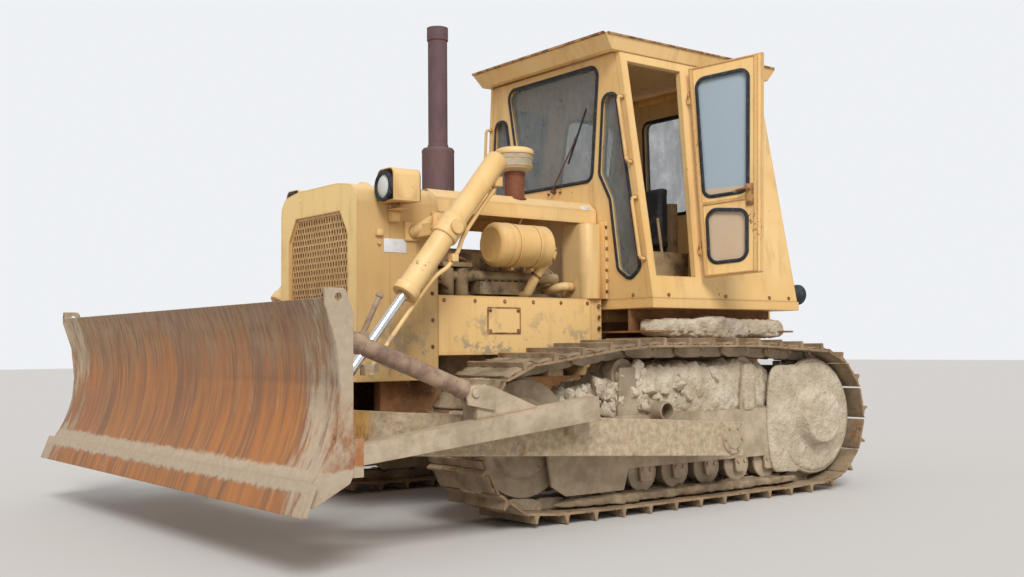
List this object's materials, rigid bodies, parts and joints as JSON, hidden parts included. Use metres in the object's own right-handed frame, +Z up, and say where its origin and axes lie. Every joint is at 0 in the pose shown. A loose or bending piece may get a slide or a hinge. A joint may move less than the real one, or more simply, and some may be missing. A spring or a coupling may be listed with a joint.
{
  "type": "bulldozer",
  "caption": "Tracked bulldozer with a raised straight blade, twin lift cylinders, an open engine bay and a glazed cab whose left door stands open.",
  "frame": {"origin": "on the ground under the middle of the whole machine's box", "axes": "+X forward, towards the blade, +Y to the operator's left, +Z up"},
  "size_m": [4.682, 3.52, 2.93],
  "materials": {
    "faded_yellow": "faded yellow paint, worn to rust at the edges",
    "rusty_blade": "orange-brown rust with streaks and dried mud",
    "muddy_steel": "rusty steel under pale dried mud",
    "oily_iron": "dark oily iron with faded paint",
    "brown_pipe": "purple-brown rust",
    "chrome_rod": "polished rod",
    "cab_pane": "clear pane in a dark rubber seal",
    "seat_cover": "worn black seat covering"
  },
  "bodies": {
    "tractor": {"air_cleaner": "faded_yellow", "belly_guard": "muddy_steel", "cab_floor": "faded_yellow", "cab_front": "faded_yellow", "cab_glass": "cab_pane", "cab_left": "faded_yellow", "cab_rear": "faded_yellow", "cab_right": "faded_yellow", "cab_roof": "faded_yellow", "controls": "oily_iron", "drawbar": "muddy_steel", "engine": "oily_iron", "exhaust": "brown_pipe", "fenders": "faded_yellow", "final_drives": "muddy_steel", "fuel_tank": "faded_yellow", "grab_rails": "faded_yellow", "grille": "faded_yellow", "headlamps": "faded_yellow", "hood": "faded_yellow", "hydraulic_tank": "faded_yellow", "idlers": "muddy_steel", "lamp_lenses": "cab_pane", "lift_brackets": "faded_yellow", "main_case": "muddy_steel", "nose": "faded_yellow", "radiator": "oily_iron", "rollers": "muddy_steel", "seat_cushion": "seat_cover", "seat_frame": "oily_iron", "side_panels": "faded_yellow", "sprockets": "muddy_steel", "track_frame_left": "muddy_steel", "track_frame_right": "muddy_steel", "track_left": "muddy_steel", "track_right": "muddy_steel"},
    "push_body": {"push_frame": "faded_yellow", "blade": "rusty_blade", "cutting_edge": "rusty_blade", "struts": "muddy_steel", "braces": "muddy_steel"},
    "barrel_left": {"cyl_barrel_left": "faded_yellow"},
    "rod_left": {"cyl_rod_left": "chrome_rod"},
    "barrel_right": {"cyl_barrel_right": "faded_yellow"},
    "rod_right": {"cyl_rod_right": "chrome_rod"},
    "door_left_leaf": {"door_left": "faded_yellow", "door_glass_left": "cab_pane"},
    "door_right_leaf": {"door_right": "faded_yellow", "door_glass_right": "cab_pane"},
    "fan_rotor": {"fan": "oily_iron"}
  },
  "joints": [
    {"name": "blade_lift", "type": "hinge", "parent": "tractor", "child": "push_body", "pos_m": [-0.661, 0, 0.4], "axis": [0, -1, 0], "range_deg": [-12, 12]},
    {"name": "cylinder_left_tilt", "type": "hinge", "parent": "tractor", "child": "barrel_left", "pos_m": [0.906, 0.72, 1.593], "axis": [0, -1, 0], "range_deg": [-12.81, 12.81]},
    {"name": "cylinder_left_stroke", "type": "slide", "parent": "barrel_left", "child": "rod_left", "axis": [0.6269, 0, -0.7791], "range_m": [-0.4173, 0.4173]},
    {"name": "cylinder_right_tilt", "type": "hinge", "parent": "tractor", "child": "barrel_right", "pos_m": [0.906, -0.72, 1.593], "axis": [0, -1, 0], "range_deg": [-12.81, 12.81]},
    {"name": "cylinder_right_stroke", "type": "slide", "parent": "barrel_right", "child": "rod_right", "axis": [0.6269, 0, -0.7791], "range_m": [-0.4173, 0.4173]},
    {"name": "door_left_swing", "type": "hinge", "parent": "tractor", "child": "door_left_leaf", "pos_m": [-0.935, 0.87623, 1.36821], "axis": [-0.0539, -0.1282, 0.9903], "range_deg": [-106, 24]},
    {"name": "door_right_swing", "type": "hinge", "parent": "tractor", "child": "door_right_leaf", "pos_m": [-0.935, -0.87623, 1.36821], "axis": [0.0539, -0.1282, -0.9903], "range_deg": [0, 130]},
    {"name": "fan_spin", "type": "hinge", "parent": "tractor", "child": "fan_rotor", "pos_m": [0.949, 0, 1.2], "axis": [1, 0, 0], "continuous": true}
  ],
  "couplings": [
    {"joint": "cylinder_left_tilt", "follows": "blade_lift", "ratio": 1.0424},
    {"joint": "cylinder_left_stroke", "follows": "blade_lift", "m_per_rad": -1.9687},
    {"joint": "cylinder_right_tilt", "follows": "blade_lift", "ratio": 1.0424},
    {"joint": "cylinder_right_stroke", "follows": "blade_lift", "m_per_rad": -1.9687}
  ]
}
